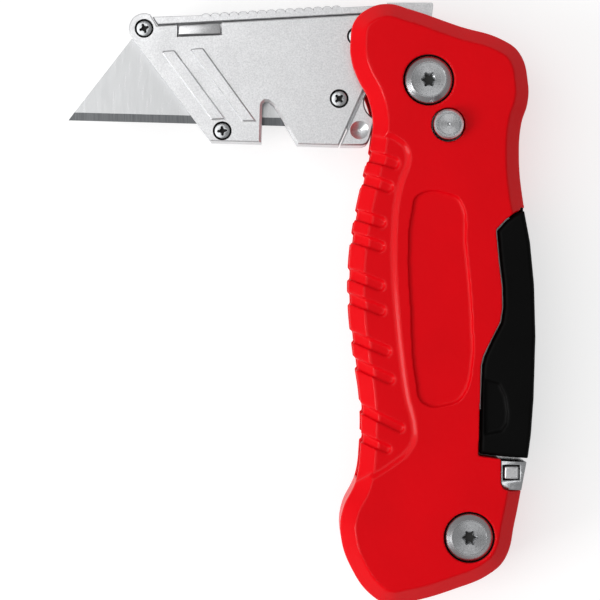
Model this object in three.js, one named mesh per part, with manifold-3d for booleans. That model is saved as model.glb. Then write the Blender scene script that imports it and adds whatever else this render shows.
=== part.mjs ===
// Folding utility knife: a die-cast two-shell handle, a folding blade holder with a
// quick-release trapezoid blade, a button lock and a swing-out spare-blade magazine.
// Millimetres, +Z up. The knife lies on its rear face; the fold pivot's axis is Z at the origin,
// the handle hangs along -Y and the blade holder points along -X, half open.
import * as THREE from 'three';
import { mergeVertices } from 'three/addons/utils/BufferGeometryUtils.js';
import Module from 'manifold-3d';

const wasm = await Module();
wasm.setup();

// ---------- driving dimensions ----------
const THICKNESS = 21;            // handle, rear face z = 0 to front face
const MID = THICKNESS / 2;       // parting plane of the two shells and of the blade
const CHAMFER = 3.3;             // flat chamfer along the handle's front and rear edges
const PANEL_DROP = 0.6;          // how far the finger panel lies below the face
const BADGE_DROP = 0.6;          // how far the long centre panel lies below the face
const GAP = 0.3;                 // running gap cut round moving pieces

const SLOT_HALF = 5.5;           // half width of the slot the blade holder folds into
const LINER = 0.6;               // steel liners each side of the slot
const SLOT_REAR = MID - SLOT_HALF;
const SLOT_FRONT = MID + SLOT_HALF;
const TANG_HALF = 4.3;           // half thickness of the tang's hub
const TANG_SWEEP = 18.3;         // clear radius the tang's top needs beside the spine wall
const CHEEK_HALF = 4.0;          // half thickness of the two cheeks together
const RIB = 0.6;                 // raised ribs on the cheeks

const BLADE_LENGTH = 61;         // standard trapezoid utility blade
const BLADE_BACK = 33;
const BLADE_HEIGHT = 19;
const BLADE_THICK = 0.6;
const BLADE_TIP = [-80.3, -8.0];
const BLADE_TILT = THREE.MathUtils.degToRad(-1.5);

const LOCK = [4.28, -9.87];      // lock button axis
const LOCK_R = 3.34;
const BUTT = [8.93, -100.5];     // butt bolt axis
const HINGE = [19.6, -27.45];    // magazine hinge axis
const BOLT_R = 5.3;
const BARREL_R = 3.3;
const WASHER_R = 6.2;

const SCREWS = [[-63.0, 12.16], [-45.6, -10.66], [-19.55, -3.5], [-15.7, 10.4]];
const SCREW_R = 1.75;

// ---------- finishes ----------
const finish = (color, roughness, metalness) =>
  new THREE.MeshStandardMaterial({ color, roughness, metalness });
const redPaint = finish('#d00012', 0.38, 0.0);
const castMetal = finish('#b9bbbd', 0.42, 0.9);
const steel = finish('#c9cbcd', 0.3, 1.0);
const bladeSteel = finish('#cfd0d1', 0.28, 1.0);
const springSteel = finish('#8d8f92', 0.35, 1.0);
const bronze = finish('#a9825a', 0.4, 0.9);
const blackPlastic = finish('#0c0c0d', 0.35, 0.0);

// ---------- solids ----------
const toSolid = (geometry) => {
  geometry.deleteAttribute('normal');
  geometry.deleteAttribute('uv');
  const merged = mergeVertices(geometry, 1e-4);
  return new wasm.Manifold(new wasm.Mesh({
    numProp: 3,
    vertProperties: merged.attributes.position.array,
    triVerts: merged.index.array,
  }));
};

const toGeometry = (solid) => {
  const mesh = solid.getMesh();
  const geometry = new THREE.BufferGeometry();
  geometry.setAttribute('position', new THREE.BufferAttribute(mesh.vertProperties, 3));
  geometry.setIndex(new THREE.BufferAttribute(mesh.triVerts, 1));
  return geometry;
};

const shapeOf = (points) => new THREE.Shape(points.map(([x, y]) => new THREE.Vector2(x, y)));

// A flat outline raised from z0 to z1.
const prism = (points, z0, z1) => {
  const raised = new THREE.ExtrudeGeometry(shapeOf(points),
    { depth: z1 - z0, bevelEnabled: false, curveSegments: 8 });
  raised.translate(0, 0, z0);
  return toSolid(raised);
};

// A turned piece about Z at (x, y): profile is a list of [radius, z] from axis to axis.
const turned = (profile, [x, y] = [0, 0], segments = 28) => {
  const lathe = new THREE.LatheGeometry(profile.map(([r, z]) => new THREE.Vector2(r, z)), segments);
  lathe.rotateX(Math.PI / 2);
  lathe.translate(x, y, 0);
  return toSolid(lathe);
};

const disc = (radius, z0, z1, at, segments = 28) =>
  turned([[0, z0], [radius, z0], [radius, z1], [0, z1]], at, segments);

const ring = (inner, outer, z0, z1, at, segments = 28) =>
  turned([[inner, z0], [outer, z0], [outer, z1], [inner, z1], [inner, z0]], at, segments);

const join = (solids) => solids.reduce((whole, next) => whole.add(next));

// The largest body of a solid, without the slivers that crossing curved cuts can leave.
const mainBody = (solid) =>
  solid.decompose().reduce((best, next) => (next.volume() > best.volume() ? next : best));

// Points of an arc about c, from angle a0 to a1 in degrees.
const arc = ([cx, cy], radius, a0, a1, steps) =>
  Array.from({ length: steps + 1 }, (_, i) => {
    const a = THREE.MathUtils.degToRad(a0 + (a1 - a0) * i / steps);
    return [cx + radius * Math.cos(a), cy + radius * Math.sin(a)];
  });

const object = new THREE.Group();
const part = (name, solid, material) => {
  const mesh = new THREE.Mesh(toGeometry(solid), material);
  mesh.name = name;
  object.add(mesh);
};

// ---------- handle outline ----------
// One smooth closed curve, clockwise from the thumb notch under the head.
const handlePoints = [
  [-16.9, 4.7], [-17.1, 9.0], [-16.3, 13.2], [-13.2, 16.1], [-8.9, 17.2], [-4.0, 16.0],
  [7.1, 12.2], [16.6, 9.2], [20.3, 6.3], [22.2, -0.4], [22.1, -4.7], [20.7, -9.4],
  [20.2, -16.9], [20.9, -25.2], [22.5, -33.6], [23.5, -44.0], [23.9, -56.4], [23.4, -70.0],
  [22.3, -80.7], [20.9, -88.8], [19.2, -97.6], [17.2, -105.4], [14.2, -108.6], [5.6, -112.4],
  [-4.5, -115.2], [-8.6, -115.6], [-12.2, -113.9], [-16.9, -107.7], [-19.3, -100.2],
  [-18.9, -94.9], [-15.9, -88.2], [-14.9, -80.6], [-14.9, -71.2], [-16.3, -61.0],
  [-17.5, -49.1], [-17.4, -40.0], [-16.3, -31.0], [-14.2, -20.8], [-12.5, -13.0],
  [-12.2, -8.6], [-13.3, -3.6], [-15.4, 0.4],
];
const handleCurve = new THREE.CatmullRomCurve3(
  handlePoints.map(([x, y]) => new THREE.Vector3(x, y, 0)), true, 'centripetal');
const OUTLINE_STEPS = 84;
const outline = handleCurve.getSpacedPoints(OUTLINE_STEPS).slice(0, -1);

// The outline moved inwards by a distance, along each point's own normal.
const inset = (distance) => outline.map((point, i) => {
  const before = outline.at(i - 1);
  const after = outline[(i + 1) % outline.length];
  const along = after.clone().sub(before).normalize();
  return [point.x + along.y * distance, point.y - along.x * distance];
});

// A slab of the handle's outline with a chamfer round its upper edge.
const chamferedSlab = (bottom, top) => {
  const rings = [
    { z: bottom, points: inset(0) },
    { z: top - CHAMFER, points: inset(0) },
    { z: top, points: inset(CHAMFER) },
  ];
  const count = outline.length;
  const positions = rings.flatMap(({ z, points }) => points.flatMap(([x, y]) => [x, y, z]));
  const faces = [];
  for (let r = 0; r + 1 < rings.length; r += 1) {
    for (let i = 0; i < count; i += 1) {
      const [a, b] = [r * count + i, r * count + (i + 1) % count];
      faces.push(b, a, a + count, b, a + count, b + count);
    }
  }
  const cap = (ringIndex, flip) => {
    const flat = rings[ringIndex].points.map(([x, y]) => new THREE.Vector2(x, y));
    THREE.ShapeUtils.triangulateShape(flat, []).forEach(([a, b, c]) => {
      const base = ringIndex * count;
      faces.push(...(flip ? [base + c, base + b, base + a] : [base + a, base + b, base + c]));
    });
  };
  cap(0, true);
  cap(rings.length - 1, false);
  const geometry = new THREE.BufferGeometry();
  geometry.setAttribute('position', new THREE.Float32BufferAttribute(positions, 3));
  geometry.setIndex(faces);
  return toSolid(geometry);
};

// ---------- regions of the handle face ----------
const fingerPanel = [
  [-9.1, -12.0], [-6.9, -13.0], [-4.9, -14.9], [-4.4, -17.6], [-5.9, -22.3], [-6.9, -26.5],
  [-7.5, -34.0], [-7.5, -42.0], [-6.9, -51.0], [-5.8, -61.7], [-4.7, -69.3], [-3.1, -76.2],
  [-3.2, -79.1], [-4.7, -81.8], [-7.3, -84.0], [-12.6, -87.4], [-30, -89], [-30, -12],
];
const badgePanel = [
  [-3.7, -29.0], [-4.5, -38.0], [-4.0, -49.7], [-2.8, -66.3], [-1.3, -71.2], [4.7, -71.4],
  [7.4, -69.7], [9.7, -61.7], [9.7, -54.5], [8.3, -36.8], [7.0, -26.5], [5.3, -25.2], [-2.4, -25.2],
];
// Grip grooves: start on the finger edge, end on the panel, width.
const grooves = [
  [[-13.2, -16.4], [-7.6, -18.3], 2.5], [[-14.2, -21.5], [-9.0, -23.5], 2.5],
  [[-15.9, -29.4], [-10.6, -31.3], 2.4], [[-16.9, -34.4], [-10.8, -36.6], 2.35],
  [[-17.7, -42.4], [-10.8, -45.2], 2.4], [[-17.6, -47.9], [-10.5, -50.7], 2.3],
  [[-16.9, -56.4], [-9.4, -59.6], 2.3], [[-16.0, -62.4], [-8.6, -65.8], 2.25],
  [[-14.8, -72.3], [-6.3, -76.5], 2.0], [[-14.8, -78.8], [-9.2, -81.1], 1.9],
];
const GROOVE_DEPTH = 0.5;

// A groove's plan outline, open at the finger edge and round at its inner end.
const grooveOutline = ([start, end, width]) => {
  const along = Math.atan2(end[1] - start[1], end[0] - start[0]);
  const angle = THREE.MathUtils.radToDeg(along);
  const outer = [start[0] - 3 * Math.cos(along), start[1] - 3 * Math.sin(along)];
  const half = width / 2;
  const side = [half * Math.sin(along), -half * Math.cos(along)];
  return [[outer[0] + side[0], outer[1] + side[1]], ...arc(end, half, angle - 90, angle + 90, 5),
    [outer[0] - side[0], outer[1] - side[1]]];
};

// ---------- magazine plan ----------
const windowPoints = [
  [30, -26.0], [22.4, -27.6], [20.4, -28.6], [18.7, -29.3], [16.9, -30.7], [14.8, -32.9],
  [15.4, -39.6], [16.1, -45.5], [16.2, -50.0], [15.7, -53.2], [13.8, -56.9], [12.0, -60.6],
  [11.5, -62.7], [10.9, -82.6], [15.9, -83.3], [20.7, -83.6], [30, -84.2],
];
const blockPoints = [
  [21.1, -28.7], [18.9, -29.6], [17.2, -30.9], [15.2, -33.1], [15.8, -39.6], [16.5, -45.5],
  [16.6, -50.0], [16.1, -53.3], [14.1, -57.1], [12.4, -60.8], [11.9, -62.8], [11.3, -82.2],
  [15.9, -82.8], [21.9, -83.2], [22.6, -78.0], [23.2, -69.9], [23.6, -56.4], [23.3, -45.0],
  [22.4, -35.6],
];
const webPoints = [[17.9, -27.3], [15.3, -32.2], [15.6, -34], [21, -34], [21.2, -28.4]];
const KNUCKLE_R = 1.7;
const SPARE_EDGE = [2.0, -18.46];            // upper end of the spare blades' cutting edge
const trayPoints = [
  [1.3, -17.8], [19.6, -25.75], [22.0, -34.0], [22.0, -66.4], [8.0, -79.9], [1.3, -79.9],
];
const TRAY_FLOOR = [16.2, 16.8];
const TRAY_TOP = 18.3;
const BLOCK_SKIN = 0.8;                      // the block lies this far below each face

// ---------- shells ----------
const slotPoints = [
  [-40, 60], [TANG_SWEEP, 60], ...arc([0, 0], TANG_SWEEP, 0, -8, 2), [17.9, -24], [17.6, -30],
  [14.6, -33], [14.6, -51], [10.2, -60], [10.2, -89.0],
  ...arc([0, 0], 89.6, -83.4, -112, 6), [-60, -83], [-60, 60],
];
const hollow = (z0, z1) => prism(slotPoints, z0, z1);

const trayHollow = prism([
  ...arc(HINGE, 21.1, 151, 192, 5), [0.9, -40], [0.9, -79.6], ...arc(HINGE, 56.1, 249.7, 277, 6),
  [30, -83.9], [30, -27.45], [21.4, -26.2], [19.6, -25.3],
], SLOT_FRONT - 0.01, TRAY_TOP + GAP);

const latchPlan = [
  [16.07, -84.6], [16.07, -88.6], [16.5, -89.6], [17.5, -90.05], [30, -90.6], [30, -84.3], [16.07, -83.8],
];
const latchOpening = [
  [15.9, -83.0], [15.9, -88.7], [16.4, -89.8], [17.5, -90.25], [30, -90.8], [30, -83.0],
];

const boltRecess = ([x, y]) => join([
  disc(BOLT_R + 0.35, 18.7, THICKNESS + 1, [x, y]),
  disc(BOLT_R + 0.35, -1, 2.2, [x, y]),
  disc(BARREL_R + 0.25, 1, 19, [x, y]),
]);
const hingeHollow = join([
  disc(KNUCKLE_R + 0.4, 3.4, 17.6, HINGE, 20),
  prism([[17.4, -26.6], [14.9, -31.6], [14.9, -36], [26, -36], [26, -27.45]], 3.4, 17.6),
  disc(0.95, 2.9, 18.1, HINGE, 16),
]);
const sharedCuts = join([
  boltRecess([0, 0]), boltRecess(BUTT), hingeHollow,
  prism(windowPoints, -1, THICKNESS + 1), prism(latchOpening, -1, THICKNESS + 1),
]);

// The half slab with the sunk finger panel and the grip grooves pressed into it.
const slabWithPanel = (grown) => {
  const plan = prism(fingerPanel, MID + 1, THICKNESS + 5);
  const low = chamferedSlab(MID, THICKNESS - PANEL_DROP);
  let body = grown.subtract(plan).add(low.intersect(plan));
  grooves.forEach((groove) => {
    const cut = prism(grooveOutline(groove), MID - 1, THICKNESS + 5);
    const keep = low.intersect(cut);
    const sunk = keep.translate([GROOVE_DEPTH, 0.2, -GROOVE_DEPTH]);
    body = body.subtract(cut).add(keep.intersect(sunk));
  });
  return body;
};
const halfShell = slabWithPanel(chamferedSlab(MID, THICKNESS))
  .subtract(prism(badgePanel, THICKNESS - BADGE_DROP, THICKNESS + 5));

const frontShell = halfShell
  .subtract(hollow(MID - 1, SLOT_FRONT))
  .subtract(trayHollow)
  .subtract(disc(LOCK_R + 0.33, MID, THICKNESS + 1, LOCK))
  .subtract(sharedCuts);
part('front_shell', mainBody(frontShell), redPaint);

// The rear shell is the front one mirrored through the parting plane, without the tray's hollow.
const mirrored = halfShell.scale([1, 1, -1]).translate([0, 0, THICKNESS]);
const backShell = mirrored
  .subtract(hollow(SLOT_REAR, MID + 1))
  .subtract(disc(1.75, 1.6, MID, LOCK, 20))
  .subtract(sharedCuts);
part('back_shell', mainBody(backShell), redPaint);

// ---------- steel liners each side of the slot ----------
const linerPlan = prism([
  [-40, 60], [TANG_SWEEP - 0.4, 60], [TANG_SWEEP - 0.4, -3], [17.0, -22], [13.6, -28], [13.6, -50.6],
  [9.6, -60], [9.6, -88.2], ...arc([0, 0], 88.9, -83.6, -112, 5), [-60, -82.6], [-60, 60],
], 0, THICKNESS);
const LINER_INSET = 2.4;
const linerBlank = (z0, z1) => prism(inset(LINER_INSET), z0, z1).intersect(linerPlan);
const frontLiner = linerBlank(SLOT_FRONT - LINER, SLOT_FRONT)
  .subtract(disc(BARREL_R + 0.3, 0, THICKNESS))
  .subtract(disc(2.2, 0, THICKNESS, LOCK, 20));
part('front_liner', frontLiner, steel);
const backLiner = linerBlank(SLOT_REAR, SLOT_REAR + LINER)
  .subtract(disc(BARREL_R + 0.3, 0, THICKNESS))
  .subtract(disc(1.8, 0, THICKNESS, LOCK, 20));
part('back_liner', backLiner, steel);

// ---------- pivot and butt bolts ----------
// A six-lobed driver recess.
const torx = (radius, at, z0, z1) => {
  const points = Array.from({ length: 24 }, (_, i) => {
    const a = Math.PI * 2 * i / 24;
    const r = radius * (0.86 + 0.14 * Math.cos(6 * a));
    return [at[0] + r * Math.cos(a), at[1] + r * Math.sin(a)];
  });
  return prism(points, z0, z1);
};
const BOLT_TOP = 21.7;
const boltAt = (at) => turned([
  [0, 6.5], [1.9, 6.5], [1.9, 19.0], [BOLT_R, 19.0], [BOLT_R, 20.6], [3.85, BOLT_TOP], [0, BOLT_TOP],
], at, 36).subtract(torx(1.62, at, BOLT_TOP - 1.6, BOLT_TOP + 1));
const nutAt = (at) => turned([
  [0, 0], [BOLT_R - 0.4, 0], [BOLT_R, 0.4], [BOLT_R, 1.9], [BARREL_R, 1.9], [BARREL_R, 18.4],
  [2.1, 18.4], [2.1, 5.5], [0, 5.5],
], at, 36);
part('pivot_bolt', boltAt([0, 0]), steel);
part('pivot_nut', nutAt([0, 0]), steel);
part('butt_bolt', boltAt(BUTT), steel);
part('butt_nut', nutAt(BUTT), steel);
const washer = (z0, z1) => ring(BARREL_R + 0.3, WASHER_R, z0, z1, [0, 0]);
part('front_pivot_washer', washer(MID + TANG_HALF + 0.04, SLOT_FRONT - LINER - 0.04), bronze);
part('back_pivot_washer', washer(SLOT_REAR + LINER + 0.04, MID - TANG_HALF - 0.04), bronze);

// ---------- button lock ----------
part('lock_button', turned([
  [0, 15.9], [1.3, 15.9], [1.3, 18.6], [LOCK_R, 18.6], [LOCK_R, 22.6], [2.68, 23.2], [0, 23.2],
], LOCK), steel);
part('lock_pin', turned([
  [0, 4.2], [1.4, 4.2], [1.4, 11.9], [LOCK_R, 11.9], [LOCK_R, 15.1], [1.85, 15.1], [1.85, 18.6],
  [1.3, 18.6], [1.3, 15.9], [0, 15.9],
], LOCK), steel);

// A coil spring: a round wire wound about Z, with both ends closed.
const coil = (at, radius, wire, z0, z1, turns, sides = 6) => {
  const points = Array.from({ length: turns * 12 + 1 }, (_, i) => {
    const a = Math.PI * 2 * i / 12;
    const z = z0 + (z1 - z0) * i / (turns * 12);
    return new THREE.Vector3(at[0] + radius * Math.cos(a), at[1] + radius * Math.sin(a), z);
  });
  const section = shapeOf(Array.from({ length: sides }, (_, i) => {
    const a = Math.PI * 2 * i / sides;
    return [wire * Math.cos(a), wire * Math.sin(a)];
  }));
  return toSolid(new THREE.ExtrudeGeometry(section, {
    steps: turns * 12, extrudePath: new THREE.CatmullRomCurve3(points), bevelEnabled: false,
  }));
};
part('lock_spring', coil(LOCK, 2.35, 0.3, 6.2, 11.3, 4), springSteel);

// ---------- blade holder ----------
const cheekPoints = [
  ...arc([-63.0, 12.16], 3.45, 66, 214, 7), [-48.29, -12.93], [-36.95, -13.24], [-36.72, -4.9],
  [-36.3, -4.2], [-35.6, -4.1], [-33.99, -5.19], [-32.63, -7.48], [-29.0, -13.62],
  [-19.68, -13.9], [-14.7, -2.75], [-9.3, 9.0], [-9.3, 15.5], [-60.1, 12.75],
];
const bladeDirection = [Math.cos(BLADE_TILT), Math.sin(BLADE_TILT)];
const onBlade = (along, up) => [
  BLADE_TIP[0] + along * bladeDirection[0] - up * bladeDirection[1],
  BLADE_TIP[1] + along * bladeDirection[1] + up * bladeDirection[0],
];
const END_RUN = (BLADE_LENGTH - BLADE_BACK) / 2;
const bladePocket = [
  onBlade(-30, -0.3), onBlade(BLADE_LENGTH + 0.6, -0.3),
  onBlade(BLADE_LENGTH - END_RUN + 0.1, BLADE_HEIGHT + 0.3), onBlade(-30, BLADE_HEIGHT + 0.3),
];
const tonguePoints = [
  [-12, -12.6], [-17.2, -12.6], [-18.0, -8.0], [-23.2, -1.6], [-29.6, 8.4], [-29.6, 12.4], [-8, 13.0],
];
const tongueRoom = [
  [-12, -12.9], [-17.6, -12.9], [-18.4, -8.1], [-23.6, -1.6], [-30.0, 8.3], [-30.0, 12.8], [-6, 13.4],
];
const TONGUE_HALF = 1.6;
const barTongue = [[-58.5, 11.35], [-14.5, 13.75], [-14.5, 16.2], [-58.5, 13.8]];
const barTongueRoom = [[-58.8, 11.1], [-14.2, 13.5], [-14.2, 16], [-58.8, 13.6]];
const releasePoints = [[-55.3, 10.6], [-46.0, 11.0], [-46.15, 13.2], [-55.2, 12.7]];
const releaseRoom = [[-55.6, 10.3], [-45.7, 10.72], [-45.85, 14.6], [-55.5, 14.2]];
const ribs = [
  [[-59.1, 6.8], [-58.6, 7.1], [-56.4, 7.2], [-55.9, 6.9], [-44.8, -8.1], [-48.0, -8.3]],
  [[-52.7, 7.3], [-52.3, 7.6], [-50.0, 7.7], [-49.6, 7.4], [-38.0, -8.6], [-41.1, -8.6]],
];
const screwShaft = ([x, y]) => disc(1.15, 5, 16, [x, y], 16);
const screwSink = ([x, y], z0, z1) => disc(SCREW_R + 0.25, z0, z1, [x, y], 20);

const cheek = (face, side) => {
  const inner = [Math.min(MID, face), Math.max(MID, face)];
  const toFace = (from, depth) => [Math.min(from, from + side * depth), Math.max(from, from + side * depth)];
  const [pocketLow, pocketHigh] = toFace(MID - side, 1 + BLADE_THICK / 2 + 0.15);
  const [tongueLow, tongueHigh] = toFace(MID - side, 1 + TONGUE_HALF + 0.05);
  const [sinkLow, sinkHigh] = toFace(face - side * 1.4, 3);
  const [ribLow, ribHigh] = toFace(face - side * 0.2, RIB + 0.2);
  let body = prism(cheekPoints, ...inner)
    .subtract(prism(bladePocket, pocketLow, pocketHigh))
    .subtract(prism(tongueRoom, tongueLow, tongueHigh))
    .subtract(prism(barTongueRoom, 9.0, 11.0));
  SCREWS.forEach((at) => {
    body = body.subtract(screwShaft(at)).subtract(screwSink(at, sinkLow, sinkHigh));
  });
  ribs.forEach((rib) => {
    body = body.add(prism(rib, ribLow, ribHigh));
  });
  return body;
};
part('front_cheek', cheek(MID + CHEEK_HALF, 1).subtract(prism(releaseRoom, 11.3, 16)), castMetal);
part('back_cheek', cheek(MID - CHEEK_HALF, -1), castMetal);

// The tang: a full-thickness hub and root, and a thinner tongue clamped between the cheeks.
// It is cut back round the lock pin's path, between its closed and its open shoulder.
const HUB_R = 7.0;
const tangPoints = [
  [-19.3, -13.93], [-14.4, -13.93], [-13.3, -13.5], [-12.8, -12.4], [-11.6, -7.9],
  ...arc([-9.87, -4.27], 4.0, 245, 120, 5).map(([x, y]) => [x - 0.15, y]), [-7.9, -0.4],
  ...arc([0, 0], HUB_R, 184, 408, 20), [6.6, 6.3], [8.2, 7.7], [10.0, 8.2], [9.2, 10.4],
  [4.5, 15.0], ...arc([0.3, 16.7], 1.2, 10, 90, 3), [-8.9, 17.9], [-8.9, 8.9], [-14.3, -2.9],
];
const tangBody = prism(tangPoints, MID - TANG_HALF, MID + TANG_HALF)
  .add(prism(tonguePoints, MID - TONGUE_HALF, MID + TONGUE_HALF))
  .subtract(disc(BARREL_R + 0.05, 0, THICKNESS, [0, 0], 36))
  .subtract(disc(LOCK_R + 0.7, 0, THICKNESS, [-9.87, -4.27]))
  .subtract(disc(2.18, MID + TANG_HALF - 0.6, THICKNESS, [-15.06, -10.53]));
const tang = SCREWS.reduce((body, at) => body.subtract(screwShaft(at)), tangBody);
part('tang_plate', tang, castMetal);

// The spine bar: a jimped steel strip on top of the cheeks, with a tongue between them.
const jimping = Array.from({ length: 15 }, (_, i) => -14.5 - i * 2.08 - 4.6);
const barTop = (x) => 14.83 + (x + 61.2) * 0.0602;
const barPoints = [
  [-60.0, 13.05], [-9.6, 15.8], [-9.6, barTop(-9.6) - 0.5],
  ...jimping.flatMap((x) => [[x, barTop(x) - 0.45], [x - 0.7, barTop(x)], [x - 1.4, barTop(x)],
    [x - 2.05, barTop(x) - 0.45]]),
  [-52, barTop(-52) - 0.25], [-61.2, barTop(-61.2)],
];
part('spine_bar', prism(barPoints, 7.0, 14.0).add(prism(barTongue, 9.2, 10.8)), castMetal);

// Countersunk cross-recess screws through both cheeks.
const screwAt = ([x, y]) => {
  const top = MID + CHEEK_HALF - 0.15;
  const slot = (w, l) => [[x - l, y - w], [x + l, y - w], [x + l, y + w], [x - l, y + w]];
  return turned([[0, 7.4], [1.0, 7.4], [1.0, 13.3], [SCREW_R, 13.3], [SCREW_R, top - 0.3],
    [SCREW_R - 0.35, top], [0, top]], [x, y], 20)
    .subtract(prism(slot(0.25, 1.1), top - 0.8, top + 1))
    .subtract(prism(slot(1.1, 0.25), top - 0.8, top + 1));
};
SCREWS.forEach((at, i) => part(`head_screw_${i + 1}`, screwAt(at), steel));

// ---------- blade and its release ----------
const notchAt = (along) => arc(onBlade(along, BLADE_HEIGHT), 1.6, 178.5, 358.5, 6).reverse();
const bladePoints = [
  onBlade(0, 0), onBlade(BLADE_LENGTH, 0), onBlade(BLADE_LENGTH - END_RUN, BLADE_HEIGHT),
  ...notchAt(BLADE_LENGTH / 2 + 5), ...notchAt(BLADE_LENGTH / 2 - 5), onBlade(END_RUN, BLADE_HEIGHT),
];
// Two long wedges grind the cutting edge from both sides.
const GRIND = 1.8;
const wedge = (side) => {
  const from = onBlade(-1, 0);
  const section = [[-0.5, MID + side * 0.03], [GRIND, MID + side * (BLADE_THICK / 2)],
    [GRIND, MID + side * 2], [-0.5, MID + side * 2]];
  const profile = side > 0 ? section : section.reverse();
  const bar = new THREE.ExtrudeGeometry(shapeOf(profile), { depth: BLADE_LENGTH + 2, bevelEnabled: false });
  bar.applyMatrix4(new THREE.Matrix4().makeBasis(
    new THREE.Vector3(0, 1, 0), new THREE.Vector3(0, 0, 1), new THREE.Vector3(1, 0, 0)));
  bar.rotateZ(BLADE_TILT);
  bar.translate(from[0], from[1], 0);
  return toSolid(bar);
};
const blade = prism(bladePoints, MID - BLADE_THICK / 2, MID + BLADE_THICK / 2)
  .subtract(wedge(1)).subtract(wedge(-1));
part('blade', blade, bladeSteel);
const releaseFacet = prism([[-50.6, 13.4], [-50.6, 10], [-45, 10], [-45, 13.6]], 14.7, 17);
part('release_button', prism(releasePoints, 12.8, 15.0).subtract(releaseFacet), steel);
part('release_spring', coil([-50.6, 11.9], 0.75, 0.15, 11.55, 12.55, 2), springSteel);

// ---------- spare-blade magazine ----------
const spareBlade = (z0) => {
  const [x, y] = SPARE_EDGE;
  return prism([[x, y], [x, y - BLADE_LENGTH], [x + BLADE_HEIGHT, y - BLADE_LENGTH + END_RUN],
    [x + BLADE_HEIGHT, y - END_RUN]], z0, z0 + 0.45);
};
const sparePocket = prism([
  [SPARE_EDGE[0] - 0.3, SPARE_EDGE[1] + 0.3], [SPARE_EDGE[0] - 0.3, SPARE_EDGE[1] - BLADE_LENGTH - 0.1],
  [SPARE_EDGE[0] + 0.4, SPARE_EDGE[1] - BLADE_LENGTH - 0.3],
  [SPARE_EDGE[0] + BLADE_HEIGHT + 0.3, SPARE_EDGE[1] - BLADE_LENGTH + END_RUN - 0.3],
  [SPARE_EDGE[0] + BLADE_HEIGHT + 0.3, SPARE_EDGE[1] - END_RUN + 0.4],
], TRAY_FLOOR[1], TRAY_TOP + 0.2);
// Thumb scoop sunk into the block's front face.
const scoop = prism([
  [13.0, -65.4], [15.9, -66.9], [17.2, -70.0], [17.6, -73.0], [17.4, -75.6], [16.3, -77.0], [13.0, -78.4],
], THICKNESS - BLOCK_SKIN - 0.9, THICKNESS);
const magazine = join([
  prism(blockPoints, BLOCK_SKIN, THICKNESS - BLOCK_SKIN),
  prism(trayPoints, TRAY_FLOOR[0], TRAY_TOP),
  prism(webPoints, 3.7, 17.3), disc(KNUCKLE_R, 3.7, 17.3, HINGE, 20),
]).subtract(sparePocket).subtract(scoop).subtract(disc(1.0, 0, THICKNESS, HINGE, 16));
part('magazine', magazine, blackPlastic);
for (let i = 0; i < 3; i += 1) {
  part(`spare_blade_${i + 1}`, spareBlade(TRAY_FLOOR[1] + 0.02 + i * 0.47), bladeSteel);
}
part('magazine_pin', disc(0.8, 3.0, 18.0, HINGE, 16), steel);

// ---------- magazine latch at the spine ----------
const buttonPlan = (grow) => [
  [16.66 - grow, -84.94 + grow], [16.66 - grow, -87.71 - grow],
  [19.76 + grow, -87.71 - grow], [19.76 + grow, -84.94 + grow],
];
const latch = prism(latchPlan, 0.9, 20.1).intersect(
  prism(inset(0.25), 0, THICKNESS)).subtract(prism(buttonPlan(0.35), 13.0, 22));
part('latch_plate', latch, steel);
part('latch_button', prism(buttonPlan(0), 16.0, 20.6), steel);
part('latch_spring', coil([18.2, -86.3], 0.95, 0.18, 13.35, 15.7, 3), springSteel);

export default object;
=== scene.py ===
"""Folding utility knife on a pale floor: a red die-cast handle, a satin folding head with its blade,
and a black swing-out magazine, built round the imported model."""
import math

import bpy
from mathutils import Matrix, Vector


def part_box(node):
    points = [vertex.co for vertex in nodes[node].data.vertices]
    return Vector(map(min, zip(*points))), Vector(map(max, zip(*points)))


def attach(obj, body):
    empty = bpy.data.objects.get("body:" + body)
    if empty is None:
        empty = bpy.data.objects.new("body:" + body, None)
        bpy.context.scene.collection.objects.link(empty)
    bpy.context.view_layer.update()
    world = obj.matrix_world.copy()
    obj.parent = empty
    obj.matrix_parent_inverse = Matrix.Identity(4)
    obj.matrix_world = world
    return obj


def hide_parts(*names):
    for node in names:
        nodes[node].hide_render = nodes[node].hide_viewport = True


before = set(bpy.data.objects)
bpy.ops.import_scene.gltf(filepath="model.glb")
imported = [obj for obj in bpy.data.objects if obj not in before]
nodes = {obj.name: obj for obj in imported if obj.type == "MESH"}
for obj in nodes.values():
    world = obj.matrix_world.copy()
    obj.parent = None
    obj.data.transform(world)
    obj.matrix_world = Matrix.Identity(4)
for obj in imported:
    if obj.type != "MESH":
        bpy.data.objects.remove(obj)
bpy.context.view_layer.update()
MM = 0.001


# --- Camera -----------------------------------------------------------------------------
# Straight above the knife's front face, far enough back for a flat, catalogue-like view.
CAMERA_HEIGHT = 450 * MM
VIEW_WIDTH = 134.83 * MM
VIEW_CENTRE = (-28.27 * MM, -48.35 * MM)
BLADE_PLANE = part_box("front_shell")[0].z
bpy.ops.object.camera_add(location=(*VIEW_CENTRE, BLADE_PLANE + CAMERA_HEIGHT), rotation=(0, 0, 0))
camera = bpy.context.object
camera.data.sensor_width = 36
camera.data.lens = 36 * CAMERA_HEIGHT / VIEW_WIDTH
camera.data.clip_start = 0.01
bpy.context.scene.camera = camera


# --- Floor and studio light -------------------------------------------------------------
# A back-lit white acrylic table, so that shadows stay faint, under one big soft box that hangs
# to the left, with a smaller and stronger key light low on the left.
def linear(hex_colour):
    """An sRGB hex colour, such as 'CF0010', as linear red, green, blue and alpha."""
    parts = [int(hex_colour[i:i + 2], 16) / 255 for i in (0, 2, 4)]
    return [p / 12.92 if p <= 0.04045 else ((p + 0.055) / 1.055) ** 2.4 for p in parts] + [1.0]


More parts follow.
